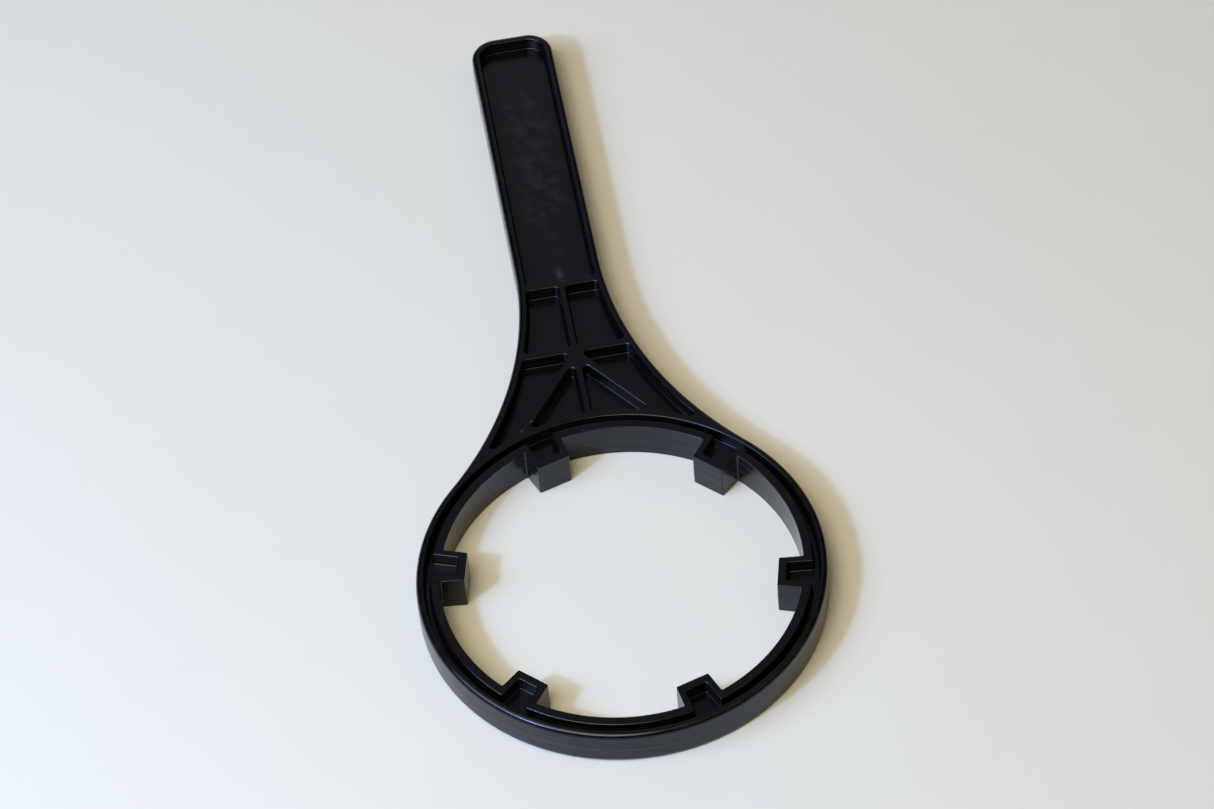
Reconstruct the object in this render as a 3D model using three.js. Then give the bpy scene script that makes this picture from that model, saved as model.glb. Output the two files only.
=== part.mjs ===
// Filter housing spanner wrench: a flat ring with six lugs pointing inwards and a long flat handle, all
// moulded in one black plastic. The walls stand the full height of the tool, and a thin web at mid-height
// closes the spaces between them, so both faces have the same recesses.
//
// The moulding is split into its walls, ribs, webs and lugs, one mesh each. Neighbours meet face to face.
//
// Millimetres, +Z up. The tool lies flat on z = 0 with its handle along +Y, and the origin is under the
// middle of its length and width. The outlines are drawn about the centre of the ring.
import * as THREE from 'three';

// Heights.
const HEIGHT = 14;
const WEB_THICKNESS = 4.6;
const WEB_BOTTOM = (HEIGHT - WEB_THICKNESS) / 2;

// Ring: outer wall, groove and inner wall, from the outside in.
const RING_RADIUS = 70;
const GROOVE_OUTER_RADIUS = 67.2;
const GROOVE_INNER_RADIUS = 65;
const BORE_RADIUS = 61.6;

// Lugs. Each is a hollow block with sides along radii of the ring. It is open to the groove, and has a web
// inside it.
const LUG_COUNT = 6;
const LUG_PITCH = (2 * Math.PI) / LUG_COUNT;
const FIRST_LUG_ANGLE = THREE.MathUtils.degToRad(-13.2);
const LUG_HALF_ANGLE = THREE.MathUtils.degToRad(6.5);
const LUG_TIP_RADIUS = 52.9;
const LUG_SIDE_WALL = 2.6;
const LUG_TIP_WALL = 3.2;
const POCKET_RADIUS = LUG_TIP_RADIUS + LUG_TIP_WALL;

// Handle, and the rim that runs round it and on down both flanks of the neck.
const HANDLE_END_Y = 253.7;
const HANDLE_ROOT_HALF_WIDTH = 15.3;
const HANDLE_END_HALF_WIDTH = 15;
const HANDLE_CORNER_RADIUS = 9.2;
const RIM_WIDTH = 3.2;

// Flanks: hollow curves tangent to the sides of the handle and to the ring.
const FLANK_RADIUS = 138.5;
const FLANK_X = HANDLE_ROOT_HALF_WIDTH + FLANK_RADIUS;
const FLANK_DISTANCE = RING_RADIUS + FLANK_RADIUS;
const HANDLE_ROOT_Y = Math.sqrt(FLANK_DISTANCE ** 2 - FLANK_X ** 2);
const RAIL_INNER_RADIUS = FLANK_RADIUS + RIM_WIDTH;

// Ribs of the neck. The diagonals leave the middle of the lower edge of the middle cross rib.
const RIB_WIDTH = 2.8;
const RIB_HALF_WIDTH = RIB_WIDTH / 2;
const TOP_RIB_Y = 129;
const MIDDLE_RIB_Y = 97.8;
const DIAGONAL_ANGLE = THREE.MathUtils.degToRad(37);

// Curves become straight steps no longer than this angle.
const ARC_STEP = THREE.MathUtils.degToRad(3);

const PLASTIC_COLOUR = 0x1b1c1f;
const PLASTIC_ROUGHNESS = 0.42;

const RING_CENTRE = new THREE.Vector2(0, 0);
const FLANK_CENTRE = new THREE.Vector2(FLANK_X, HANDLE_ROOT_Y);

// --- Outline helpers ---------------------------------------------------------------------------------

// Points of an arc through each of the angles in turn, with both ends.
function arc(centre, radius, angles) {
  const points = [];
  for (let i = 1; i < angles.length; i += 1) {
    const from = angles[i - 1];
    const sweep = angles[i] - from;
    const steps = Math.ceil(Math.abs(sweep) / ARC_STEP);
    for (let step = 0; step < steps; step += 1) {
      points.push(pointOnCircle(centre, radius, from + (sweep * step) / steps));
    }
  }
  points.push(pointOnCircle(centre, radius, angles[angles.length - 1]));
  return points;
}

function pointOnCircle(centre, radius, angle) {
  return new THREE.Vector2(centre.x + radius * Math.cos(angle), centre.y + radius * Math.sin(angle));
}

function point(x, y) {
  return new THREE.Vector2(x, y);
}

// The same outline on the other side of the handle's centre line.
function mirrored(points) {
  return points.map((p) => point(-p.x, p.y));
}

function turned(points, angle) {
  return points.map((p) => p.clone().rotateAround(RING_CENTRE, angle));
}

// --- Places where the neck's walls and ribs meet, on the +X side ---------------------------------------

// Angle about the flank's centre at which its inner edge has this y.
function railAngle(y) {
  return Math.PI + Math.asin((HANDLE_ROOT_Y - y) / RAIL_INNER_RADIUS);
}

// Where a line meets the outside of the ring. The direction is a unit vector.
function angleOnRing(start, direction) {
  const along = start.dot(direction);
  const reach = -along - Math.sqrt(along ** 2 - start.lengthSq() + RING_RADIUS ** 2);
  return start.clone().addScaledVector(direction, reach).angle();
}

// Flank against ring: the outer edge touches the ring, and the inner edge crosses it nearer the handle.
const FLANK_TOUCH_ANGLE = Math.atan2(HANDLE_ROOT_Y, FLANK_X);
const CROSSING_COSINE =
  (RING_RADIUS ** 2 + FLANK_DISTANCE ** 2 - RAIL_INNER_RADIUS ** 2) / (2 * RING_RADIUS * FLANK_DISTANCE);
const RAIL_TIP_ANGLE = FLANK_TOUCH_ANGLE + Math.acos(CROSSING_COSINE);
const RAIL_TIP = pointOnCircle(RING_CENTRE, RING_RADIUS, RAIL_TIP_ANGLE);

// Diagonal rib: a line down and outwards, with an upper and a lower edge.
const DIAGONAL_DIRECTION = point(Math.sin(DIAGONAL_ANGLE), -Math.cos(DIAGONAL_ANGLE));
const DIAGONAL_SIDE = point(Math.cos(DIAGONAL_ANGLE), Math.sin(DIAGONAL_ANGLE));
const HUB = point(0, MIDDLE_RIB_Y);
const UPPER_EDGE = HUB.clone().addScaledVector(DIAGONAL_SIDE, RIB_HALF_WIDTH);
const LOWER_EDGE = HUB.clone().addScaledVector(DIAGONAL_SIDE, -RIB_HALF_WIDTH);
const UPPER_EDGE_ANGLE = angleOnRing(UPPER_EDGE, DIAGONAL_DIRECTION);
const LOWER_EDGE_ANGLE = angleOnRing(LOWER_EDGE, DIAGONAL_DIRECTION);

// The upper edge starts on the middle cross rib, and the lower edge starts on the centre rib.
const UPPER_EDGE_X = UPPER_EDGE.x + (UPPER_EDGE.y - MIDDLE_RIB_Y) * Math.tan(DIAGONAL_ANGLE);
const LOWER_EDGE_Y = LOWER_EDGE.y - (RIB_HALF_WIDTH - LOWER_EDGE.x) / Math.tan(DIAGONAL_ANGLE);

const CENTRE_RIB_ANGLE = Math.acos(RIB_HALF_WIDTH / RING_RADIUS);

const RAIL_ANGLES = [
  HANDLE_ROOT_Y,
  TOP_RIB_Y + RIB_WIDTH,
  TOP_RIB_Y,
  MIDDLE_RIB_Y + RIB_WIDTH,
  MIDDLE_RIB_Y,
  RAIL_TIP.y,
].map(railAngle);
const [AT_ROOT, AT_TOP_RIB_TOP, AT_TOP_RIB, AT_MIDDLE_RIB_TOP, AT_MIDDLE_RIB, AT_TIP] = RAIL_ANGLES;

const NECK_ANGLES = [
  FLANK_TOUCH_ANGLE,
  RAIL_TIP_ANGLE,
  UPPER_EDGE_ANGLE,
  LOWER_EDGE_ANGLE,
  CENTRE_RIB_ANGLE,
];

function railEdge(...angles) {
  return arc(FLANK_CENTRE, RAIL_INNER_RADIUS, angles);
}

function ringEdge(...angles) {
  return arc(RING_CENTRE, RING_RADIUS, angles);
}

// --- Ring ----------------------------------------------------------------------------------------------

// The whole outside of the ring. It has a corner wherever a wall or rib of the neck starts, and at its
// furthest points to each side and away from the handle.
function ringOutline() {
  const oppositeAngles = NECK_ANGLES.map((angle) => Math.PI - angle).reverse();
  const freeAngles = [Math.PI, 1.5 * Math.PI, 2 * Math.PI];
  const end = NECK_ANGLES[0] + 2 * Math.PI;
  return ringEdge(...NECK_ANGLES, ...oppositeAngles, ...freeAngles, end).slice(0, -1);
}

function grooveOutline() {
  return arc(RING_CENTRE, GROOVE_OUTER_RADIUS, [0, 2 * Math.PI]).slice(0, -1);
}

// A lug's walls are lines parallel to its side, an inset inside it. This is the angle from the lug's centre
// line to the place where such a line meets a circle about the ring.
function angleInLug(inset, radius) {
  return LUG_HALF_ANGLE - Math.asin(inset / radius);
}

// Where such a line meets a line straight across a lug on +X.
function acrossLug(inset, x) {
  return point(x, x * Math.tan(LUG_HALF_ANGLE) - inset / Math.cos(LUG_HALF_ANGLE));
}

// Outer edge of the inner wall, from the pocket of the lug on +X to the next.
function innerWallOuterEdge() {
  const start = angleInLug(LUG_SIDE_WALL, GROOVE_INNER_RADIUS);
  return arc(RING_CENTRE, GROOVE_INNER_RADIUS, [start, LUG_PITCH - start]);
}

// The inner wall between two pockets, with a corner on the bore at the outer side of each lug.
function innerWallOutline() {
  const atPocket = angleInLug(LUG_SIDE_WALL, BORE_RADIUS);
  const angles = [atPocket, LUG_HALF_ANGLE, LUG_PITCH - LUG_HALF_ANGLE, LUG_PITCH - atPocket];
  return [...arc(RING_CENTRE, BORE_RADIUS, angles), ...innerWallOuterEdge().reverse()];
}

// The same places on the other side of the centre line of a lug on +X, in the opposite order.
function acrossCentreLine(points) {
  return points.map((p) => point(p.x, -p.y)).reverse();
}

// The U-shaped wall of a lug on +X, inside the bore: two sides and a flat tip.
function lugOutline() {
  const outside = [
    acrossLug(0, LUG_TIP_RADIUS),
    pointOnCircle(RING_CENTRE, BORE_RADIUS, LUG_HALF_ANGLE),
  ];
  const inside = [
    pointOnCircle(RING_CENTRE, BORE_RADIUS, angleInLug(LUG_SIDE_WALL, BORE_RADIUS)),
    acrossLug(LUG_SIDE_WALL, POCKET_RADIUS),
  ];
  return [...acrossCentreLine(outside), ...outside, ...inside, ...acrossCentreLine(inside)];
}

// The inner edge of the ring's web, which runs along the inner wall and into every lug.
function webInnerOutline() {
  const pocketCorner = acrossLug(LUG_SIDE_WALL, POCKET_RADIUS);
  const points = [];
  for (let i = 0; i < LUG_COUNT; i += 1) {
    const stretch = [...acrossCentreLine([pocketCorner]), pocketCorner, ...innerWallOuterEdge()];
    points.push(...turned(stretch, FIRST_LUG_ANGLE + i * LUG_PITCH));
  }
  return points;
}

// --- Neck, on the +X side ------------------------------------------------------------------------------

function railOutline() {
  const outerEdge = arc(FLANK_CENTRE, FLANK_RADIUS, [Math.PI, Math.PI + FLANK_TOUCH_ANGLE]);
  const ringSide = ringEdge(FLANK_TOUCH_ANGLE, RAIL_TIP_ANGLE);
  const innerEdge = railEdge(...RAIL_ANGLES).reverse();
  return [...outerEdge, ...ringSide.slice(1), ...innerEdge.slice(1)];
}

function diagonalRibOutline() {
  return [
    point(RIB_HALF_WIDTH, MIDDLE_RIB_Y),
    point(UPPER_EDGE_X, MIDDLE_RIB_Y),
    ...ringEdge(UPPER_EDGE_ANGLE, LOWER_EDGE_ANGLE),
    point(RIB_HALF_WIDTH, LOWER_EDGE_Y),
  ];
}

function upperWebOutline() {
  return [
    point(RIB_HALF_WIDTH, TOP_RIB_Y),
    ...railEdge(AT_TOP_RIB, AT_MIDDLE_RIB_TOP),
    point(RIB_HALF_WIDTH, MIDDLE_RIB_Y + RIB_WIDTH),
  ];
}

function outerWebOutline() {
  return [
    point(UPPER_EDGE_X, MIDDLE_RIB_Y),
    ...railEdge(AT_MIDDLE_RIB, AT_TIP),
    ...ringEdge(RAIL_TIP_ANGLE, UPPER_EDGE_ANGLE).slice(1),
  ];
}

function innerWebOutline() {
  return [point(RIB_HALF_WIDTH, LOWER_EDGE_Y), ...ringEdge(LOWER_EDGE_ANGLE, CENTRE_RIB_ANGLE)];
}

// --- Ribs across and along the centre line -------------------------------------------------------------

// A cross rib from rail to rail, between two angles of the rail's inner edge.
function crossRibOutline(lowerAngle, upperAngle) {
  const rightEnd = railEdge(lowerAngle, upperAngle);
  return [...rightEnd, ...mirrored(rightEnd).reverse()];
}

function upperCentreRibOutline() {
  return [
    point(RIB_HALF_WIDTH, MIDDLE_RIB_Y + RIB_WIDTH),
    point(RIB_HALF_WIDTH, TOP_RIB_Y),
    point(-RIB_HALF_WIDTH, TOP_RIB_Y),
    point(-RIB_HALF_WIDTH, MIDDLE_RIB_Y + RIB_WIDTH),
  ];
}

function lowerCentreRibOutline() {
  return [
    ...ringEdge(CENTRE_RIB_ANGLE, Math.PI - CENTRE_RIB_ANGLE).reverse(),
    point(RIB_HALF_WIDTH, LOWER_EDGE_Y),
    point(RIB_HALF_WIDTH, MIDDLE_RIB_Y),
    point(-RIB_HALF_WIDTH, MIDDLE_RIB_Y),
    point(-RIB_HALF_WIDTH, LOWER_EDGE_Y),
  ];
}

// --- Handle --------------------------------------------------------------------------------------------

// Up the +X side of the handle, round the end and down the other side, at a distance inside its outline.
function handleEdge(inset) {
  const corner = point(HANDLE_END_HALF_WIDTH - HANDLE_CORNER_RADIUS, HANDLE_END_Y - HANDLE_CORNER_RADIUS);
  const rightSide = [
    point(HANDLE_ROOT_HALF_WIDTH - inset, HANDLE_ROOT_Y),
    ...arc(corner, HANDLE_CORNER_RADIUS - inset, [0, Math.PI / 2]),
  ];
  return [...rightSide, ...mirrored(rightSide).reverse()];
}

function handleRimOutline() {
  return [...handleEdge(0), ...handleEdge(RIM_WIDTH).reverse()];
}

function handleWebOutline() {
  const rightEdge = railEdge(AT_TOP_RIB_TOP, AT_ROOT).slice(0, -1);
  return [...rightEdge, ...handleEdge(RIM_WIDTH), ...mirrored(rightEdge).reverse()];
}

// --- Meshes --------------------------------------------------------------------------------------------

function blackPlastic() {
  return new THREE.MeshStandardMaterial({
    color: PLASTIC_COLOUR,
    roughness: PLASTIC_ROUGHNESS,
    metalness: 0,
  });
}

function extruded(name, outline, bottom, height, hole) {
  const shape = new THREE.Shape(outline);
  if (hole) {
    shape.holes.push(new THREE.Path(hole));
  }
  const geometry = new THREE.ExtrudeGeometry(shape, { depth: height, bevelEnabled: false });
  const mesh = new THREE.Mesh(geometry, blackPlastic());
  mesh.name = name;
  mesh.position.z = bottom;
  return mesh;
}

function wall(name, outline, hole) {
  return extruded(name, outline, 0, HEIGHT, hole);
}

function web(name, outline, hole) {
  return extruded(name, outline, WEB_BOTTOM, WEB_THICKNESS, hole);
}

function ring() {
  const group = new THREE.Group();
  group.add(wall('ring_outer_wall', ringOutline(), grooveOutline()));
  group.add(web('ring_web', grooveOutline(), webInnerOutline()));
  for (let i = 0; i < LUG_COUNT; i += 1) {
    const sector = new THREE.Group();
    sector.rotation.z = FIRST_LUG_ANGLE + i * LUG_PITCH;
    sector.add(wall(`lug_${i + 1}`, lugOutline()));
    sector.add(wall(`ring_inner_wall_${i + 1}`, innerWallOutline()));
    group.add(sector);
  }
  return group;
}

function neck() {
  const group = new THREE.Group();
  group.add(wall('top_cross_rib', crossRibOutline(AT_TOP_RIB, AT_TOP_RIB_TOP)));
  group.add(wall('middle_cross_rib', crossRibOutline(AT_MIDDLE_RIB, AT_MIDDLE_RIB_TOP)));
  group.add(wall('centre_rib_upper', upperCentreRibOutline()));
  group.add(wall('centre_rib_lower', lowerCentreRibOutline()));
  const sides = [
    ['right', (points) => points],
    ['left', mirrored],
  ];
  for (const [side, placed] of sides) {
    group.add(wall(`neck_rail_${side}`, placed(railOutline())));
    group.add(wall(`diagonal_rib_${side}`, placed(diagonalRibOutline())));
    group.add(web(`neck_web_upper_${side}`, placed(upperWebOutline())));
    group.add(web(`neck_web_outer_${side}`, placed(outerWebOutline())));
    group.add(web(`neck_web_inner_${side}`, placed(innerWebOutline())));
  }
  return group;
}

function handle() {
  const group = new THREE.Group();
  group.add(wall('handle_rim', handleRimOutline()));
  group.add(web('handle_web', handleWebOutline()));
  return group;
}

const wrench = new THREE.Group();
wrench.add(ring(), neck(), handle());
wrench.position.y = (RING_RADIUS - HANDLE_END_Y) / 2;

export default wrench;
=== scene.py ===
import cmath
import math

import bpy
from mathutils import Matrix, Vector
from mathutils.geometry import tessellate_polygon


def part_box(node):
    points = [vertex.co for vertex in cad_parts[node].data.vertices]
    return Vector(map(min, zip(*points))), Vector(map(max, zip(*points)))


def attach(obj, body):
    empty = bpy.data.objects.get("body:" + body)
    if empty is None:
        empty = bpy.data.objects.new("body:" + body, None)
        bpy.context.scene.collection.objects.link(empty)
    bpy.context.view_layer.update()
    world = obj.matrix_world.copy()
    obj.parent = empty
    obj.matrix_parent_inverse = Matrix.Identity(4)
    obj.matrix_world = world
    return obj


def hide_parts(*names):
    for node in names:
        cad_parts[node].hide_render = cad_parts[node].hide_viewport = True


# A filter housing spanner wrench moulded in one black plastic: a flat ring with six hollow lugs, a ribbed
# neck and a long handle with a recess in each face. It lies on a pale table.
#
# Lengths are in metres. Outlines are drawn in the plane about the centre of the ring, with complex numbers
# as points, x + yj, and the hollow or the open air is always on an outline's left.
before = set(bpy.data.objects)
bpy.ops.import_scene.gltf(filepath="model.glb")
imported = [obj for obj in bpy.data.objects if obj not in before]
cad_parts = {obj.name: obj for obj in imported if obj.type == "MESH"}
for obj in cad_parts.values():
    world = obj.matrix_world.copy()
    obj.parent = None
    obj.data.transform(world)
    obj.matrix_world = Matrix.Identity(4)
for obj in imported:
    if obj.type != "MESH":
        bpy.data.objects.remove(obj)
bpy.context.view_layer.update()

# --- Sizes taken from the frame --------------------------------------------------------------------------

RING_LOW, RING_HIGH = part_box("ring_outer_wall")
WEB_LOW, WEB_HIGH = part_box("ring_web")
HANDLE_LOW, HANDLE_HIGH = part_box("handle_rim")
TOP_RIB_LOW, TOP_RIB_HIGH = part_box("top_cross_rib")
MIDDLE_RIB_LOW, MIDDLE_RIB_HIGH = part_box("middle_cross_rib")

HEIGHT = RING_HIGH.z
MIDDLE = HEIGHT / 2
WEB_TOP = WEB_HIGH.z

RING_RADIUS = (RING_HIGH.x - RING_LOW.x) / 2
RING_CENTRE = Vector((0, RING_LOW.y + RING_RADIUS, 0))
GROOVE_OUTER_RADIUS = (WEB_HIGH.x - WEB_LOW.x) / 2

HANDLE_ROOT_Y = HANDLE_LOW.y - RING_CENTRE.y
HANDLE_END_Y = HANDLE_HIGH.y - RING_CENTRE.y
HANDLE_ROOT_HALF_WIDTH = HANDLE_HIGH.x

TOP_RIB_BOTTOM_Y = TOP_RIB_LOW.y - RING_CENTRE.y
TOP_RIB_TOP_Y = TOP_RIB_HIGH.y - RING_CENTRE.y
MIDDLE_RIB_BOTTOM_Y = MIDDLE_RIB_LOW.y - RING_CENTRE.y
MIDDLE_RIB_TOP_Y = MIDDLE_RIB_HIGH.y - RING_CENTRE.y
RIB_HALF_WIDTH = (TOP_RIB_TOP_Y - TOP_RIB_BOTTOM_Y) / 2

# --- Sizes that no box shows, as in the CAD --------------------------------------------------------------

GROOVE_INNER_RADIUS = 0.065
BORE_RADIUS = 0.0616

LUG_COUNT = 6
LUG_PITCH = math.tau / LUG_COUNT
FIRST_LUG_ANGLE = math.radians(-13.2)
LUG_HALF_ANGLE = math.radians(6.5)
LUG_TIP_RADIUS = 0.0529
LUG_SIDE_WALL = 0.0026
POCKET_END_RADIUS = LUG_TIP_RADIUS + 0.0032

HANDLE_END_HALF_WIDTH = 0.015
HANDLE_CORNER_RADIUS = 0.0092
RIM_WIDTH = 0.0032
FLANK_RADIUS = 0.1385
RAIL_INNER_RADIUS = FLANK_RADIUS + RIM_WIDTH
FLANK_CENTRE = complex(HANDLE_ROOT_HALF_WIDTH + FLANK_RADIUS, HANDLE_ROOT_Y)
DIAGONAL_ANGLE = math.radians(37)

# --- Moulded edges ---------------------------------------------------------------------------------------

OUTER_EDGE_RADIUS = 0.0018
RIB_EDGE_RADIUS = 0.0006
GROOVE_EDGE_RADIUS = 0.0005
BORE_EDGE_RADIUS = 0.00035
FLOOR_FILLET = 0.0005
HANDLE_FLOOR_FILLET = 0.0004
OUTER_DRAFT = math.radians(0.6)
RECESS_DRAFT = math.radians(1.5)
PARTING_RIDGE_HEIGHT = 0.00035
PARTING_RIDGE_DEPTH = 0.00003

RECESS_CORNER = 0.0013
RIB_CORNER = 0.0011
LUG_CORNER = 0.0005
LUG_ROOT_CORNER = 0.0005
POCKET_MOUTH_CORNER = 0.0006
POCKET_CORNER = 0.0008

# Each lug parts from the ring near its root. The neck parts from it where the ring's outer edge is rounded.
LUG_SEAM_RADIUS = 0.0602

LONGEST_CHORD = 0.0014
LARGEST_TURN = math.radians(15)
ROUNDING_STEPS = 5


# --- Edges of an outline ---------------------------------------------------------------------------------


class Line:
    """A straight edge."""

    def __init__(self, start, end):
        self.start, self.end = start, end
        self.direction = (end - start) / abs(end - start)

    def normal(self, place):
        return self.direction * 1j

    def moved(self, distance):
        return Line(self.start + self.direction * 1j * distance, self.end + self.direction * 1j * distance)

    def nearest(self, place):
        along = ((place - self.start) * self.direction.conjugate()).real
        return self.start + along * self.direction

    def trimmed(self, start, end):
        return Line(start, end)

    def places(self):
        return [self.start]


class Arc:
    """A round edge. The turn is 1 anticlockwise and -1 clockwise."""

    def __init__(self, centre, start, end, turn):
        self.centre, self.start, self.end, self.turn = centre, start, end, turn
        self.radius = abs(start - centre)

    def normal(self, place):
        return -self.turn * (place - self.centre) / abs(place - self.centre)

    def moved(self, distance):
        scale = 1 - self.turn * distance / self.radius
        start = self.centre + (self.start - self.centre) * scale
        end = self.centre + (self.end - self.centre) * scale
        return Arc(self.centre, start, end, self.turn)

    def nearest(self, place):
        return self.centre + self.radius * (place - self.centre) / abs(place - self.centre)

    def trimmed(self, start, end):
        return Arc(self.centre, start, end, self.turn)

    def places(self):
        sweep = self.turn * cmath.phase((self.end - self.centre) / (self.start - self.centre)) % math.tau
        chord_steps = sweep * self.radius / LONGEST_CHORD
        steps = math.ceil(max(chord_steps, sweep / LARGEST_TURN, 1))
        spoke = self.start - self.centre
        return [self.centre + spoke * cmath.rect(1, self.turn * sweep * i / steps) for i in range(steps)]


def cross(a, b):
    return (a.conjugate() * b).imag


def crossing(first, second, near):
    """Where two edges, carried on past their ends, cross closest to a place."""
    if isinstance(first, Line) and isinstance(second, Line):
        along = cross(second.start - first.start, second.direction) / cross(first.direction, second.direction)
        return first.start + along * first.direction
    if isinstance(first, Arc) and isinstance(second, Arc):
        gap = second.centre - first.centre
        along = (first.radius**2 - second.radius**2 + abs(gap) ** 2) / (2 * abs(gap) ** 2)
        foot = first.centre + along * gap
        first, second = Line(foot, foot + gap * 1j), first
    line, arc = (first, second) if isinstance(first, Line) else (second, first)
    foot = line.nearest(arc.centre)
    half_chord = math.sqrt(arc.radius**2 - abs(foot - arc.centre) ** 2)
    ends = [foot - half_chord * line.direction, foot + half_chord * line.direction]
    return min(ends, key=lambda place: abs(place - near))


# --- Outlines --------------------------------------------------------------------------------------------


class Outline:
    """A closed outline of edges. Each edge ends in a corner with a radius, and may end in a mark."""

    def __init__(self, start):
        self.at = start
        self.edges, self.corners, self.names = [], [], []

    def line(self, end, corner=0.0, mark=None):
        return self.add(Line(self.at, end), corner, mark)

    def arc(self, centre, end, turn, corner=0.0, mark=None):
        return self.add(Arc(centre, self.at, end, turn), corner, mark)

    def add(self, edge, corner, mark):
        self.edges.append(edge)
        self.corners.append(corner)
        self.names.append(mark)
        self.at = edge.end
        return self

    def fillet(self, i):
        """The arc that rounds the corner after edge i, or None where the outline runs on smoothly."""
        edge, following = self.edges[i], self.edges[(i + 1) % len(self.edges)]
        radius = self.corners[i]
        if not radius:
            return None
        turn = 1 if cross(edge.normal(edge.end), following.normal(following.start)) > 0 else -1
        centre = crossing(edge.moved(turn * radius), following.moved(turn * radius), edge.end)
        return Arc(centre, edge.nearest(centre), following.nearest(centre), turn)

    def closed(self):
        """Steps along the outline into samples, each a place and the unit normal there."""
        fillets = [self.fillet(i) for i in range(len(self.edges))]
        self.samples, self.marks = [], {}
        for i, edge in enumerate(self.edges):
            before, after = fillets[i - 1], fillets[i]
            start = before.end if before else edge.start
            end = after.start if after else edge.end
            for part in filter(None, [edge.trimmed(start, end), after]):
                self.samples += [(place, part.normal(place)) for place in part.places()]
            if self.names[i]:
                self.marks[self.names[i]] = len(self.samples)
        return self

    def run(self, first=None, last=None):
        """The samples from one mark to another, or all the way round and back to the first sample."""
        if first is None:
            return self.samples + self.samples[:1]
        start = self.marks[first] % len(self.samples)
        end = self.marks[last] % len(self.samples)
        if end <= start:
            end += len(self.samples)
        return [self.samples[i % len(self.samples)] for i in range(start, end + 1)]


def backwards(run):
    """The same places the other way, with the other side as the hollow."""
    return [(place, -normal) for place, normal in reversed(run)]


def polar(radius, angle):
    return cmath.rect(radius, angle)


def on_ring(line, radius):
    """Where a line that comes from outside meets a circle about the ring's centre."""
    foot = line.nearest(0)
    return foot - math.sqrt(radius**2 - abs(foot) ** 2) * line.direction


def mirrored(places):
    return [complex(-place.real, place.imag) for place in places]


FLANK_TOUCH = RING_RADIUS * FLANK_CENTRE / abs(FLANK_CENTRE)


def rail_at(y):
    """A place on the right rail's inner edge."""
    return complex(FLANK_CENTRE.real - math.sqrt(RAIL_INNER_RADIUS**2 - (y - HANDLE_ROOT_Y) ** 2), y)


def body_outline():
    """Clockwise round the whole tool from the right-hand flank's touch on the ring."""
    left_touch, left_flank_centre = mirrored([FLANK_TOUCH, FLANK_CENTRE])
    corner_y = HANDLE_END_Y - HANDLE_CORNER_RADIUS
    corner_x = HANDLE_END_HALF_WIDTH - HANDLE_CORNER_RADIUS
    return (
        Outline(FLANK_TOUCH)
        .arc(0, left_touch, -1, mark="left_touch")
        .arc(left_flank_centre, complex(-HANDLE_ROOT_HALF_WIDTH, HANDLE_ROOT_Y), 1, mark="left_root")
        .line(complex(-HANDLE_END_HALF_WIDTH, corner_y))
        .arc(complex(-corner_x, corner_y), complex(-corner_x, HANDLE_END_Y), -1)
        .line(complex(corner_x, HANDLE_END_Y))
        .arc(complex(corner_x, corner_y), complex(HANDLE_END_HALF_WIDTH, corner_y), -1)
        .line(complex(HANDLE_ROOT_HALF_WIDTH, HANDLE_ROOT_Y), mark="right_root")
        .arc(FLANK_CENTRE, FLANK_TOUCH, 1, mark="right_touch")
        .closed()
    )


def handle_recess():
    """Anticlockwise round the long recess, from the left end of the top cross rib."""
    rail_right = rail_at(TOP_RIB_TOP_Y)
    rail_left, left_flank_centre = mirrored([rail_right, FLANK_CENTRE])
    corner_y = HANDLE_END_Y - HANDLE_CORNER_RADIUS
    corner_x = HANDLE_END_HALF_WIDTH - HANDLE_CORNER_RADIUS
    side_x = HANDLE_END_HALF_WIDTH - RIM_WIDTH
    end_y = HANDLE_END_Y - RIM_WIDTH
    root_x = HANDLE_ROOT_HALF_WIDTH - RIM_WIDTH
    return (
        Outline(rail_left)
        .line(rail_right, RECESS_CORNER)
        .arc(FLANK_CENTRE, complex(root_x, HANDLE_ROOT_Y), -1, mark="right_root")
        .line(complex(side_x, corner_y))
        .arc(complex(corner_x, corner_y), complex(corner_x, end_y), 1)
        .line(complex(-corner_x, end_y))
        .arc(complex(-corner_x, corner_y), complex(-side_x, corner_y), 1)
        .line(complex(-root_x, HANDLE_ROOT_Y), mark="left_root")
        .arc(left_flank_centre, rail_left, -1, RECESS_CORNER)
        .closed()
    )


def upper_recess():
    """Beside the centre rib, between the two cross ribs, on the right."""
    return (
        Outline(complex(RIB_HALF_WIDTH, MIDDLE_RIB_TOP_Y))
        .line(rail_at(MIDDLE_RIB_TOP_Y), RECESS_CORNER)
        .arc(FLANK_CENTRE, rail_at(TOP_RIB_BOTTOM_Y), -1, RECESS_CORNER)
        .line(complex(RIB_HALF_WIDTH, TOP_RIB_BOTTOM_Y), RECESS_CORNER)
        .line(complex(RIB_HALF_WIDTH, MIDDLE_RIB_TOP_Y), RECESS_CORNER)
    )


# The diagonal ribs leave the lower edge of the middle cross rib on the centre line.
DIAGONAL_DIRECTION = complex(math.sin(DIAGONAL_ANGLE), -math.cos(DIAGONAL_ANGLE))
DIAGONAL_AXIS = Line(complex(0, MIDDLE_RIB_BOTTOM_Y), complex(0, MIDDLE_RIB_BOTTOM_Y) + DIAGONAL_DIRECTION)
DIAGONAL_UPPER_EDGE = DIAGONAL_AXIS.moved(RIB_HALF_WIDTH)
DIAGONAL_LOWER_EDGE = DIAGONAL_AXIS.moved(-RIB_HALF_WIDTH)
RING_CIRCLE = Arc(0, complex(RING_RADIUS, 0), complex(RING_RADIUS, 0), 1)
RAIL_CIRCLE = Arc(FLANK_CENTRE, rail_at(HANDLE_ROOT_Y), rail_at(HANDLE_ROOT_Y), 1)
MIDDLE_RIB_EDGE = Line(complex(0, MIDDLE_RIB_BOTTOM_Y), rail_at(MIDDLE_RIB_BOTTOM_Y))
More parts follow.
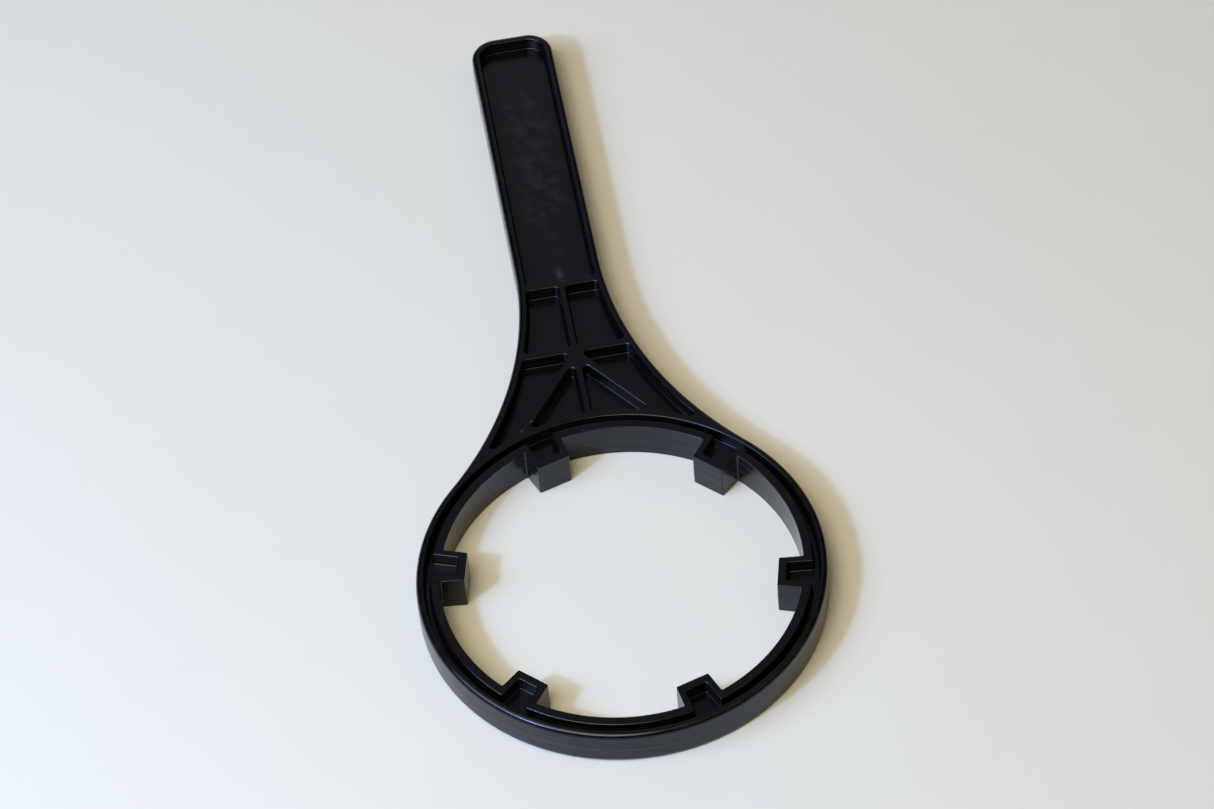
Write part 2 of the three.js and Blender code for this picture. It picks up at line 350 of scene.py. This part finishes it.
CENTRE_RIB_EDGE = Line(complex(RIB_HALF_WIDTH, MIDDLE_RIB_BOTTOM_Y), complex(RIB_HALF_WIDTH, RING_RADIUS))


def outer_recess():
    """Between the diagonal rib and the rail, on the right."""
    start = crossing(DIAGONAL_UPPER_EDGE, MIDDLE_RIB_EDGE, MIDDLE_RIB_EDGE.start)
    return (
        Outline(start)
        .line(on_ring(DIAGONAL_UPPER_EDGE, RING_RADIUS), RIB_CORNER)
        .arc(0, crossing(RING_CIRCLE, RAIL_CIRCLE, complex(0, RING_RADIUS)), -1, RIB_CORNER)
        .arc(FLANK_CENTRE, rail_at(MIDDLE_RIB_BOTTOM_Y), -1, RECESS_CORNER)
        .line(start, RECESS_CORNER)
    )


def inner_recess():
    """Between the centre rib and the diagonal rib, on the right."""
    start = crossing(DIAGONAL_LOWER_EDGE, CENTRE_RIB_EDGE, CENTRE_RIB_EDGE.start)
    foot = complex(RIB_HALF_WIDTH, math.sqrt(RING_RADIUS**2 - RIB_HALF_WIDTH**2))
    return (
        Outline(start)
        .line(foot, RECESS_CORNER)
        .arc(0, on_ring(DIAGONAL_LOWER_EDGE, RING_RADIUS), -1, RIB_CORNER)
        .line(start, RECESS_CORNER)
    )


def groove_circle():
    start = complex(GROOVE_OUTER_RADIUS, 0)
    return Outline(start).arc(0, -start, 1).arc(0, start, 1).closed()


def lug_angle(number):
    return FIRST_LUG_ANGLE + (number - 1) * LUG_PITCH


def across_lug(inset, x):
    """Where a wall of a lug on +X, an inset inside its radial side, meets a line across the lug."""
    return complex(x, x * math.tan(LUG_HALF_ANGLE) - inset / math.cos(LUG_HALF_ANGLE))


def along_lug(inset, radius):
    """Where such a wall meets a circle about the ring's centre."""
    return polar(radius, LUG_HALF_ANGLE - math.asin(inset / radius))


def bore_outline():
    """Anticlockwise round the bore, in and out round each lug."""
    root, seam, tip = along_lug(0, BORE_RADIUS), across_lug(0, LUG_SEAM_RADIUS), across_lug(0, LUG_TIP_RADIUS)
    outline = Outline(root * polar(1, lug_angle(LUG_COUNT)))
    for number in range(1, LUG_COUNT + 1):
        turn = polar(1, lug_angle(number))
        outline.arc(0, root.conjugate() * turn, 1, LUG_ROOT_CORNER)
        outline.line(seam.conjugate() * turn, mark=f"lug_{number}_start")
        outline.line(tip.conjugate() * turn, LUG_CORNER)
        outline.line(tip * turn, LUG_CORNER)
        outline.line(seam * turn, mark=f"lug_{number}_end")
        outline.line(root * turn, LUG_ROOT_CORNER)
    return outline.closed()


def groove_inner_outline():
    """Clockwise along the groove's inner side, in and out of the pocket in each lug."""
    mouth = along_lug(LUG_SIDE_WALL, GROOVE_INNER_RADIUS)
    seam = across_lug(LUG_SIDE_WALL, LUG_SEAM_RADIUS)
    end = across_lug(LUG_SIDE_WALL, POCKET_END_RADIUS)
    outline = Outline(mouth.conjugate() * polar(1, lug_angle(1)))
    for number in range(LUG_COUNT, 0, -1):
        turn = polar(1, lug_angle(number))
        outline.arc(0, mouth * turn, -1, POCKET_MOUTH_CORNER)
        outline.line(seam * turn, mark=f"lug_{number}_start")
        outline.line(end * turn, POCKET_CORNER)
        outline.line(end.conjugate() * turn, POCKET_CORNER)
        outline.line(seam.conjugate() * turn, mark=f"lug_{number}_end")
        outline.line(mouth.conjugate() * turn, POCKET_MOUTH_CORNER)
    return outline.closed()


BODY = body_outline()
RECESS = handle_recess()
GROOVE_CIRCLE = groove_circle()
BORE = bore_outline()
GROOVE_INNER = groove_inner_outline()


def other_side(run):
    """The same run on the other side of the handle's centre line."""
    return [(-place.conjugate(), -normal.conjugate()) for place, normal in reversed(run)]


def neck_recesses():
    right = [recess().closed().run() for recess in (upper_recess, outer_recess, inner_recess)]
    return right + [other_side(run) for run in right]


def seam_run():
    """Clockwise over the part of the ring that the neck joins."""
    free_run = BODY.run("right_touch", "left_touch")
    start, end = free_run[-1], free_run[0]
    arc = Arc(0, start[0], end[0], -1)
    return [start] + [(place, arc.normal(place)) for place in arc.places()[1:]] + [end]


# --- Profiles: how an outline's wall goes down from the upper face ---------------------------------------


class Station:
    """A step down a wall: how far out into the hollow, how high, the surface's tilt, and how worn it is."""

    def __init__(self, out, z, tilt, edge=0.0):
        self.out, self.z, self.edge = out, z, edge
        self.n_out, self.n_z = math.cos(tilt), math.sin(tilt)


def round_over(radius, draft):
    """From the flat upper face over a rounded edge to a wall that leans out by its draft."""
    stations = []
    for i in range(ROUNDING_STEPS + 1):
        part = i / ROUNDING_STEPS
        tilt = math.pi / 2 + (draft - math.pi / 2) * part
        out = radius * (math.cos(tilt) - 1)
        z = HEIGHT + radius * (math.sin(tilt) - 1)
        stations.append(Station(out, z, tilt, math.sin(math.pi * part)))
    return stations


def recess_profile(edge_radius, fillet):
    """Over the edge, down the wall of a recess and round a fillet to its floor."""
    stations = round_over(edge_radius, RECESS_DRAFT)
    fillet_z = WEB_TOP + fillet
    fall = stations[-1].z - (fillet_z - fillet * math.sin(RECESS_DRAFT))
    wall_foot = stations[-1].out + fall * math.tan(RECESS_DRAFT)
    fillet_out = wall_foot + fillet * math.cos(RECESS_DRAFT)
    for i in range(ROUNDING_STEPS + 1):
        tilt = RECESS_DRAFT + (math.pi / 2 - RECESS_DRAFT) * i / ROUNDING_STEPS
        out = fillet_out - fillet * math.cos(tilt)
        stations.append(Station(out, fillet_z - fillet * math.sin(tilt), tilt))
    return stations


def open_profile(edge_radius):
    """Over the edge and down an outside wall to the crest of the parting ridge at mid-height."""
    stations = round_over(edge_radius, OUTER_DRAFT)
    fall = stations[-1].z - MIDDLE - PARTING_RIDGE_HEIGHT
    foot = stations[-1].out + fall * math.tan(OUTER_DRAFT)
    slope = math.atan(2 * PARTING_RIDGE_DEPTH / PARTING_RIDGE_HEIGHT)
    stations.append(Station(foot, MIDDLE + PARTING_RIDGE_HEIGHT, OUTER_DRAFT))
    stations.append(Station(foot + PARTING_RIDGE_DEPTH / 2, MIDDLE + PARTING_RIDGE_HEIGHT / 2, slope))
    stations.append(Station(foot + PARTING_RIDGE_DEPTH, MIDDLE, 0.0))
    inset = stations[-1].out
    for station in stations:
        station.out -= inset
    return stations


OUTER_PROFILE = open_profile(OUTER_EDGE_RADIUS)
BORE_PROFILE = open_profile(BORE_EDGE_RADIUS)
HANDLE_PROFILE = recess_profile(RIB_EDGE_RADIUS, HANDLE_FLOOR_FILLET)
RECESS_PROFILE = recess_profile(RIB_EDGE_RADIUS, FLOOR_FILLET)
GROOVE_PROFILE = recess_profile(GROOVE_EDGE_RADIUS, FLOOR_FILLET)
SEAM_OUT = OUTER_PROFILE[0].out
SEAM_PROFILE = [Station(SEAM_OUT, HEIGHT, 0.0), Station(SEAM_OUT, MIDDLE, 0.0)]
SEAM_PROFILE_BACK = [Station(-SEAM_OUT, HEIGHT, 0.0), Station(-SEAM_OUT, MIDDLE, 0.0)]


# --- Surfaces --------------------------------------------------------------------------------------------


def spot(sample, station):
    place, normal = sample
    flat_place = place + normal * station.out
    return Vector((flat_place.real, flat_place.imag, station.z))


def corner(sample, station):
    normal = sample[1] * station.n_out
    return spot(sample, station), Vector((normal.real, normal.imag, station.n_z)), station.edge


def shifted(run, out):
    return [place + normal * out for place, normal in run]


def without_repeats(places):
    kept = []
    for place in places:
        if not kept or abs(place - kept[-1]) > 1e-8:
            kept.append(place)
    if abs(kept[0] - kept[-1]) < 1e-8:
        kept.pop()
    return kept


class Shell:
    """The surface of one piece. Its upper half is built face by face, and the lower half mirrors it."""

    def __init__(self):
        self.faces = []

    def face(self, corners):
        """Adds a face, turned the way its corners' normals point."""
        places = [c[0] for c in corners]
        area = sum(((a - places[0]).cross(b - places[0]) for a, b in zip(places[1:], places[2:])), Vector())
        facing = sum((c[1] for c in corners), Vector())
        self.faces.append(corners if area.dot(facing) > 0 else corners[::-1])

    def wall(self, run, profile):
        for sample, following in zip(run, run[1:]):
            for upper, lower in zip(profile, profile[1:]):
                pairs = [(sample, upper), (following, upper), (following, lower), (sample, lower)]
                self.face([corner(*pair) for pair in pairs])

    def level(self, z, outline, holes=()):
        loops = [without_repeats(places) for places in (outline, *holes)]
        loops = [[Vector((place.real, place.imag, z)) for place in places] for places in loops]
        self.fill(loops, Vector((0, 0, 1)))

    def fill(self, loops, normal):
        places = [place for loop in loops for place in loop]
        for triangle in tessellate_polygon(loops):
            self.face([(places[i], normal, 0.0) for i in triangle])

    def section(self, outer_run, outer_profile, inner_run, inner_profile, facing):
        """The cut face across a channel: an outer wall on each side, and the recess between them."""
        places = [spot(outer_run[0], station) for station in outer_profile]
        places += [spot(outer_run[-1], station) for station in reversed(outer_profile)]
        places += [spot(inner_run[0], station) for station in inner_profile]
        places += [spot(inner_run[-1], station) for station in reversed(inner_profile)]
        self.fill([places], Vector((facing.real, facing.imag, 0)))

    def seam_end(self, sample, facing):
        """The cut face across the rounded rim where the neck runs on to the ring."""
        places = [spot(sample, station) for station in OUTER_PROFILE]
        places.append(spot(sample, SEAM_PROFILE[-1]))
        self.fill([places], Vector((facing.real, facing.imag, 0)))

    def piece(self, name):
        """Makes the mesh object, with the normals that its corners carry."""
        index, vertices, faces, normals, edges = {}, [], [], [], []
        for mirror in (False, True):
            for corners in self.faces:
                if mirror:
                    corners = [
                        (mirrored_z(place, HEIGHT), mirrored_z(normal, 0), edge)
                        for place, normal, edge in reversed(corners)
                    ]
                face = []
                for place, normal, edge in corners:
                    key = tuple(round(value, 7) for value in place)
                    if key not in index:
                        index[key] = len(vertices)
                        vertices.append(place + RING_CENTRE)
                    face.append(index[key])
                    normals.append(normal.normalized())
                    edges.append(edge)
                faces.append(face)
        mesh = bpy.data.meshes.new(name)
        mesh.from_pydata(vertices, [], faces)
        mesh.shade_smooth()
        mesh.normals_split_custom_set(normals)
        worn = mesh.attributes.new("edge", "FLOAT", "CORNER")
        worn.data.foreach_set("value", edges)
        piece = bpy.data.objects.new(name, mesh)
        bpy.context.scene.collection.objects.link(piece)
        return piece


def mirrored_z(vector, height):
    return Vector((vector.x, vector.y, height - vector.z))


# --- Pieces ----------------------------------------------------------------------------------------------


def handle():
    shell = Shell()
    outside = BODY.run("left_root", "right_root")
    inside = RECESS.run("right_root", "left_root")
    shell.wall(outside, OUTER_PROFILE)
    shell.wall(inside, HANDLE_PROFILE)
    shell.level(HEIGHT, shifted(outside, OUTER_PROFILE[0].out) + shifted(inside, HANDLE_PROFILE[0].out))
    shell.level(WEB_TOP, shifted(inside, HANDLE_PROFILE[-1].out))
    shell.section(outside, OUTER_PROFILE, inside, HANDLE_PROFILE, -1j)
    return shell.piece("moulded_handle")


def neck():
    shell = Shell()
    left_flank = BODY.run("left_touch", "left_root")
    right_flank = BODY.run("right_root", "right_touch")
    recess_foot = RECESS.run("left_root", "right_root")
    seam = seam_run()
    recesses = neck_recesses()
    shell.wall(left_flank, OUTER_PROFILE)
    shell.wall(right_flank, OUTER_PROFILE)
    shell.wall(backwards(seam), SEAM_PROFILE_BACK)
    outline = shifted(left_flank, OUTER_PROFILE[0].out) + shifted(recess_foot, HANDLE_PROFILE[0].out)
    outline += shifted(right_flank, OUTER_PROFILE[0].out) + shifted(backwards(seam), -SEAM_OUT)
    shell.level(HEIGHT, outline, [shifted(run, RECESS_PROFILE[0].out) for run in recesses])
    for run, profile in [(recess_foot, HANDLE_PROFILE), *((run, RECESS_PROFILE) for run in recesses)]:
        shell.wall(run, profile)
        shell.level(WEB_TOP, shifted(run, profile[-1].out))
    handle_outside = BODY.run("left_root", "right_root")
    handle_inside = RECESS.run("right_root", "left_root")
    shell.section(handle_outside, OUTER_PROFILE, handle_inside, HANDLE_PROFILE, 1j)
    shell.seam_end(left_flank[0], left_flank[0][1] * 1j)
    shell.seam_end(right_flank[-1], right_flank[-1][1] * -1j)
    return shell.piece("moulded_neck")


def ring():
    shell = Shell()
    free_run = BODY.run("right_touch", "left_touch")
    seam = seam_run()
    shell.wall(free_run, OUTER_PROFILE)
    shell.wall(seam, SEAM_PROFILE)
    shell.wall(GROOVE_CIRCLE.run(), GROOVE_PROFILE)
    groove_rim = shifted(GROOVE_CIRCLE.run(), GROOVE_PROFILE[0].out)
    shell.level(HEIGHT, shifted(free_run, OUTER_PROFILE[0].out) + shifted(seam, SEAM_OUT), [groove_rim])
    shell.seam_end(free_run[-1], free_run[-1][1] * -1j)
    shell.seam_end(free_run[0], free_run[0][1] * 1j)
    floor_edge = []
    for number in range(LUG_COUNT, 0, -1):
        following = number % LUG_COUNT + 1
        bore = BORE.run(f"lug_{number}_end", f"lug_{following}_start")
        groove = GROOVE_INNER.run(f"lug_{following}_end", f"lug_{number}_start")
        shell.wall(bore, BORE_PROFILE)
        shell.wall(groove, GROOVE_PROFILE)
        shell.level(HEIGHT, shifted(bore, BORE_PROFILE[0].out) + shifted(groove, GROOVE_PROFILE[0].out))
        floor_edge += shifted(groove, GROOVE_PROFILE[-1].out)
        shell.section(*lug_walls(number), -polar(1, lug_angle(number)))
    shell.level(WEB_TOP, shifted(GROOVE_CIRCLE.run(), GROOVE_PROFILE[-1].out), [floor_edge])
    return shell.piece("moulded_ring")


def lug_walls(number):
    outside = BORE.run(f"lug_{number}_start", f"lug_{number}_end")
    inside = GROOVE_INNER.run(f"lug_{number}_start", f"lug_{number}_end")
    return outside, BORE_PROFILE, inside, GROOVE_PROFILE


def lug(number):
    shell = Shell()
    outside, _, inside, _ = lug_walls(number)
    shell.wall(outside, BORE_PROFILE)
    shell.wall(inside, GROOVE_PROFILE)
    shell.level(HEIGHT, shifted(outside, BORE_PROFILE[0].out) + shifted(inside, GROOVE_PROFILE[0].out))
    shell.level(WEB_TOP, shifted(inside, GROOVE_PROFILE[-1].out))
    shell.section(*lug_walls(number), polar(1, lug_angle(number)))
    return shell.piece(f"moulded_lug_{number}")


# The gate ridge starts inside the rib and sinks into the web. Its sections are squarer than half ovals.
GATE_ROOT_Y = TOP_RIB_TOP_Y - 0.0006
GATE_END_Y = 0.1372
GATE_TOP = HEIGHT - 0.0002
GATE_FOOT = WEB_TOP - 0.0003
GATE_HALF_WIDTH = 0.0010
GATE_TAPER = 0.35
GATE_SAG = 1.1
GATE_STATIONS = 12
GATE_STEPS = 16
GATE_BOXINESS = 0.45


def gate():
    """What is left of the gate: the centre rib runs on past the top cross rib and slopes down to the web."""
    rings = []
    for i in range(GATE_STATIONS + 1):
        part = i / GATE_STATIONS
        y = GATE_ROOT_Y + (GATE_END_Y - GATE_ROOT_Y) * part
        height = (GATE_TOP - GATE_FOOT) * (1 - part) ** GATE_SAG
        half_width = GATE_HALF_WIDTH * (1 - GATE_TAPER * part)
        ring_places = []
        for j in range(GATE_STEPS + 1):
            turn = math.pi * j / GATE_STEPS
            out = math.copysign(abs(math.cos(turn)) ** GATE_BOXINESS, math.cos(turn))
            rise = math.sin(turn) ** GATE_BOXINESS if 0 < j < GATE_STEPS else 0.0
            ring_places.append(Vector((half_width * out, y, GATE_FOOT + height * rise)))
        rings.append(ring_places)
    count = GATE_STEPS + 1
    vertices = [place + RING_CENTRE for ring_places in rings for place in ring_places]
    faces = [list(range(count)), list(reversed(range(GATE_STATIONS * count, (GATE_STATIONS + 1) * count)))]
    for i in range(GATE_STATIONS):
        for j in range(count):
            following = (j + 1) % count
            near, far = i * count, (i + 1) * count
            faces.append([near + following, near + j, far + j, far + following])
    mesh = bpy.data.meshes.new("gate_ridge")
    mesh.from_pydata(vertices, [], faces)
    mesh.shade_smooth()
    piece = bpy.data.objects.new("gate_ridge", mesh)
    bpy.context.scene.collection.objects.link(piece)
    return piece


# --- Material --------------------------------------------------------------------------------------------

PLASTIC_COLOUR = (0.0012, 0.0012, 0.0014, 1)
SHEEN_COLOUR = (0.69, 0.79, 1.0, 1)
WORN_COLOUR = (0.030, 0.031, 0.034, 1)
BLUSH_AND_HIGHLIGHT_COLOUR = (0.090, 0.092, 0.096, 1)
PLASTIC_IOR = 1.5
SMOOTH_ROUGHNESS = 0.18
DULL_ROUGHNESS = 0.25
WORN_EXTRA_ROUGHNESS = 0.25
BLOTCH_EXTRA_ROUGHNESS = 0.2
GRAIN_DEPTH = 0.00002
STREAK_DEPTH = 0.00003

# How fine each kind of mark is, in noise cells to the metre. The last three differ by direction.
GRAIN_SCALE = 2600
DUST_SCALE = 1500
PALE_SCALE = 900
RUB_SCALE = 420
BLOTCH_SCALE = 240
GLOSS_SCALE = 110
SCRATCH_PATCH_SCALE = 35
LEVEL_STRETCH = (14, 14, 2400)
SCRATCH_STRETCH = (90, 2600, 90)
CROSS_SCRATCH_STRETCH = (3100, 70, 70)
SCRATCH_TURN = 0.5
CROSS_SCRATCH_TURN = 0.35

# Pale marks in the plastic: the middle, the half sizes along, across and up, the turn from +X in radians,
# and the strength.
PALE_MARKS = [
    (Vector((0.0004, 0.1388, WEB_TOP)), (0.0050, 0.0026, 0.0028), math.radians(96), 0.5),
    # A pale streak down the gate ridge: stress whitening, and also a painted highlight along the ridge.
    (Vector((0.0007, 0.1330, 0.0118)), (0.0046, 0.0009, 0.0042), math.radians(97), 0.9),
    (Vector((-0.0200, 0.0700, HEIGHT)), (0.0012, 0.0006, 0.0006), math.radians(40), 1.0),
    (Vector((-0.0240, 0.0665, HEIGHT)), (0.0014, 0.0005, 0.0005), math.radians(55), 1.0),
    (Vector((-0.0030, 0.0624, HEIGHT)), (0.0005, 0.0004, 0.0004), 0.0, 1.0),
]

# The faint unevenness of the panel in the handle: its middle and half sizes.
PANEL_MIDDLE = Vector((0, 0.1930, WEB_TOP))
PANEL_HALF_SIZES = (0.0620, 0.0125, 0.0125)


class Paint:
    """A material's shader, with short ways to add the nodes that feed it."""

    def __init__(self, name):
        self.material = bpy.data.materials.new(name)
        self.material.use_nodes = True
        self.tree = self.material.node_tree
        self.shader = self.tree.nodes["Principled BSDF"]
        self.place = self.add("ShaderNodeTexCoord").outputs["Object"]

    def feed(self, socket, value):
        if isinstance(value, bpy.types.NodeSocket):
            self.tree.links.new(value, socket)
        else:
            socket.default_value = value

    def add(self, kind, inputs=None, **settings):
        node = self.tree.nodes.new(kind)
        for name, setting in settings.items():
            setattr(node, name, setting)
        for name, value in (inputs or {}).items():
            self.feed(node.inputs[name], value)
        return node

    def stretched(self, scale, turn=0.0):
        inputs = {"Vector": self.place, "Rotation": (0, 0, turn), "Scale": scale}
        return self.add("ShaderNodeMapping", inputs).outputs["Vector"]

    def noise(self, scale, detail, place=None):
        inputs = {"Vector": place or self.place, "Scale": scale, "Detail": detail}
        return self.add("ShaderNodeTexNoise", inputs).outputs["Fac"]

    def remap(self, value, low, high, new_low=0.0, new_high=1.0):
        inputs = {"Value": value, "From Min": low, "From Max": high, "To Min": new_low, "To Max": new_high}
        return self.add("ShaderNodeMapRange", inputs).outputs["Result"]

    def maths(self, operation, first, second):
        node = self.add("ShaderNodeMath", operation=operation)
        self.feed(node.inputs[0], first)
        self.feed(node.inputs[1], second)
        return node.outputs["Value"]

    def mixed(self, factor, first, second):
        inputs = {"Factor": factor, "A": first, "B": second}
        return self.add("ShaderNodeMix", inputs, data_type="RGBA").outputs["Result"]

    def mark(self, middle, half_sizes, turn, strength):
        """A soft oval about a place given from the ring's centre."""
        inputs = {
            "Vector": self.place,
            "Location": middle + RING_CENTRE,
            "Rotation": (0, 0, turn),
            "Scale": half_sizes,
        }
        local = self.add("ShaderNodeMapping", inputs, vector_type="TEXTURE").outputs["Vector"]
        oval = self.add("ShaderNodeTexGradient", {"Vector": local}, gradient_type="QUADRATIC_SPHERE")
        return self.maths("MULTIPLY", oval.outputs["Fac"], strength)


def black_plastic():
    paint = Paint("black_plastic")
    geometry = paint.add("ShaderNodeNewGeometry")
    upright = paint.add("ShaderNodeSeparateXYZ", {"Vector": geometry.outputs["Normal"]})
    flatness = paint.maths("ABSOLUTE", upright.outputs["Z"], 0.0)
    wall = paint.remap(flatness, 0.3, 0.1)
    face = paint.remap(flatness, 0.9, 0.99)

    # Rubbed edges, hair scratches, specks of dust, and level lines on the walls.
    edge = paint.add("ShaderNodeAttribute", attribute_name="edge").outputs["Fac"]
    rubbed = paint.maths("MULTIPLY", edge, paint.remap(paint.noise(RUB_SCALE, 4), 0.5, 0.72, 0.0, 0.22))
    along = paint.noise(1, 2, paint.stretched(SCRATCH_STRETCH, SCRATCH_TURN))
    across = paint.noise(1, 2, paint.stretched(CROSS_SCRATCH_STRETCH, CROSS_SCRATCH_TURN))
    along = paint.remap(along, 0.70, 0.76, 0.0, 0.5)
    across = paint.remap(across, 0.71, 0.77, 0.0, 0.4)
    scratches = paint.maths("MULTIPLY", paint.maths("MAXIMUM", along, across), face)
    patches = paint.remap(paint.noise(SCRATCH_PATCH_SCALE, 2), 0.45, 0.65)
    scratches = paint.maths("MULTIPLY", scratches, patches)
    dust = paint.remap(paint.noise(DUST_SCALE, 1), 0.80, 0.84, 0.0, 0.8)
    level_noise = paint.noise(1, 3, paint.stretched(LEVEL_STRETCH))
    level_lines = paint.maths("MULTIPLY", paint.remap(level_noise, 0.52, 0.72, 0.0, 0.6), wall)
    worn = rubbed
    for kind in (scratches, dust, level_lines):
        worn = paint.maths("MAXIMUM", worn, kind)

    # The blush round the gate, a pale streak down the gate ridge that is stress whitening and also a painted
    # highlight along the ridge, the scuffs and a nick.
    pale = 0.0
    for mark in PALE_MARKS:
        pale = paint.maths("MAXIMUM", pale, paint.mark(*mark))
    pale = paint.maths("MULTIPLY", pale, paint.remap(paint.noise(PALE_SCALE, 2), 0.3, 0.7, 0.55, 1.0))

    # Faint blotches on the panel of the handle.
    panel = paint.mark(PANEL_MIDDLE, PANEL_HALF_SIZES, math.pi / 2, 1.0)
    panel = paint.maths("MULTIPLY", paint.remap(panel, 0.0, 0.2), face)
    blotches = paint.remap(paint.noise(BLOTCH_SCALE, 1), 0.40, 0.80, 0.0, 0.30)
    blotches = paint.maths("MULTIPLY", blotches, panel)

    colour = paint.mixed(worn, PLASTIC_COLOUR, WORN_COLOUR)
    colour = paint.mixed(blotches, colour, WORN_COLOUR)
    colour = paint.mixed(pale, colour, BLUSH_AND_HIGHLIGHT_COLOUR)
    paint.feed(paint.shader.inputs["Base Color"], colour)

    roughness = paint.remap(paint.noise(GLOSS_SCALE, 4), 0.3, 0.7, SMOOTH_ROUGHNESS, DULL_ROUGHNESS)
    roughness = paint.maths("ADD", roughness, paint.maths("MULTIPLY", worn, WORN_EXTRA_ROUGHNESS))
    roughness = paint.maths("ADD", roughness, paint.maths("MULTIPLY", blotches, BLOTCH_EXTRA_ROUGHNESS))
    paint.feed(paint.shader.inputs["Roughness"], roughness)
    paint.feed(paint.shader.inputs["IOR"], PLASTIC_IOR)
    paint.feed(paint.shader.inputs["Specular Tint"], SHEEN_COLOUR)

    # A fine grain all over, and level streaks left on the walls by the mould.
    grain = paint.noise(GRAIN_SCALE, 3)
    streaks = paint.maths("MULTIPLY", level_noise, wall)
    grain = paint.add("ShaderNodeBump", {"Height": grain, "Strength": 0.5, "Distance": GRAIN_DEPTH})
    inputs = {"Height": streaks, "Strength": 0.6, "Distance": STREAK_DEPTH, "Normal": grain.outputs["Normal"]}
    relief = paint.add("ShaderNodeBump", inputs)
    paint.feed(paint.shader.inputs["Normal"], relief.outputs["Normal"])
    return paint.material


def table_top():
    paint = Paint("pale_table")
    tone = paint.remap(paint.noise(5, 3), 0.35, 0.65)
    colour = paint.mixed(tone, (0.795, 0.795, 0.795, 1), (0.805, 0.805, 0.805, 1))
    specks = paint.remap(paint.noise(90, 1), 0.83, 0.86, 0.0, 0.12)
    paint.feed(paint.shader.inputs["Base Color"], paint.mixed(specks, colour, (0.45, 0.42, 0.38, 1)))
    paint.feed(paint.shader.inputs["Roughness"], paint.remap(paint.noise(40, 3), 0.3, 0.7, 0.55, 0.65))
    return paint.material


# --- Table, lights and camera ----------------------------------------------------------------------------

TABLE_HALF_SIZE = 4.0


def table():
    mesh = bpy.data.meshes.new("table")
    size = TABLE_HALF_SIZE
    corners = [(-size, -size, 0), (size, -size, 0), (size, size, 0), (-size, size, 0)]
    mesh.from_pydata(corners, [], [(0, 1, 2, 3)])
    mesh.materials.append(table_top())
    floor = bpy.data.objects.new("table", mesh)
    bpy.context.scene.collection.objects.link(floor)


# Lamps: azimuth from +X and elevation in degrees, distance, diameter, power and colour.
LAMPS = {
    "window": (190, 40, 1.5, 0.75, 8.0, (0.60, 0.73, 0.95)),
    "window_sky": (214, 42, 1.5, 0.45, 6.6, (0.26, 0.48, 1.0)),
    "window_glare": (214, 42, 1.5, 0.12, 6.6, (0.54, 0.70, 1.0)),
    "ceiling": (240, 61, 2.3, 1.3, 25.2, (1.0, 0.92, 0.62)),
    "lamp_right": (330, 58, 2.5, 3.0, 7.9, (1.0, 0.72, 0.24)),
    "lamp_left": (165, 70, 2.5, 1.4, 7.0, (1.0, 0.76, 0.38)),
    "far_wall": (85, 50, 2.5, 2.0, 1.9, (1.0, 0.95, 0.91)),
    "far_floor": (85, 25, 2.5, 1.6, 2.0, (1.0, 0.94, 0.82)),
}
ROOM_COLOUR = (0.95, 0.97, 1.0, 1)
ROOM_STRENGTH = 0.02


def area_light(name, azimuth, elevation, distance, size, power, colour):
    light = bpy.data.lights.new(name, "AREA")
    light.shape = "DISK"
    light.size = size
    light.energy = power
    light.color = colour
    flat = polar(math.cos(math.radians(elevation)), math.radians(azimuth))
    direction = Vector((flat.real, flat.imag, math.sin(math.radians(elevation))))
    lamp = bpy.data.objects.new(name, light)
    lamp.location = direction * distance
    lamp.rotation_mode = "QUATERNION"
    lamp.rotation_quaternion = direction.to_track_quat("Z", "Y")
    bpy.context.scene.collection.objects.link(lamp)


def lights():
    for name, settings in LAMPS.items():
        area_light(name, *settings)
    world = bpy.data.worlds.new("room")
    world.use_nodes = True
    world.node_tree.nodes["Background"].inputs["Color"].default_value = ROOM_COLOUR
    world.node_tree.nodes["Background"].inputs["Strength"].default_value = ROOM_STRENGTH
    bpy.context.scene.world = world
    bpy.context.scene.view_settings.view_transform = "Standard"


CAMERA_TARGET = Vector((0.00799, -0.00841, 0))
CAMERA_DISTANCE = 1.7877
CAMERA_ELEVATION = math.radians(50.508)
CAMERA_AZIMUTH = math.radians(-5.222)
CAMERA_ROLL = math.radians(-5.4287)
CAMERA_LENS = 151.09


def camera():
    data = bpy.data.cameras.new("camera")
    data.sensor_width = 36
    data.lens = CAMERA_LENS
    data.clip_start = 0.1
    eye = bpy.data.objects.new("camera", data)
    turn = Matrix.Rotation(CAMERA_AZIMUTH, 4, "Z") @ Matrix.Rotation(math.pi / 2 - CAMERA_ELEVATION, 4, "X")
    back = Matrix.Translation((0, 0, CAMERA_DISTANCE))
    roll = Matrix.Rotation(CAMERA_ROLL, 4, "Z")
    eye.matrix_world = Matrix.Translation(CAMERA_TARGET) @ turn @ back @ roll
    bpy.context.scene.collection.objects.link(eye)
    bpy.context.scene.camera = eye


# --- The wrench ------------------------------------------------------------------------------------------

NECK_NODES = ["top_cross_rib", "middle_cross_rib", "centre_rib_upper", "centre_rib_lower"]
for side in ("left", "right"):
    NECK_NODES += [f"neck_rail_{side}", f"diagonal_rib_{side}"]
    NECK_NODES += [f"neck_web_{part}_{side}" for part in ("upper", "outer", "inner")]
RING_NODES = ["ring_outer_wall", "ring_web"]
RING_NODES += [f"ring_inner_wall_{number}" for number in range(1, LUG_COUNT + 1)]

plastic = black_plastic()


def place(piece, *nodes):
    """Gives a piece its plastic and its body, and hides the CAD nodes that it stands for."""
    piece.data.materials.append(plastic)
    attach(piece, "root")
    if nodes:
        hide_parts(*nodes)


place(handle(), "handle_rim", "handle_web")
place(neck(), *NECK_NODES)
place(ring(), *RING_NODES)
for number in range(1, LUG_COUNT + 1):
    place(lug(number), f"lug_{number}")
place(gate())

table()
lights()
camera()
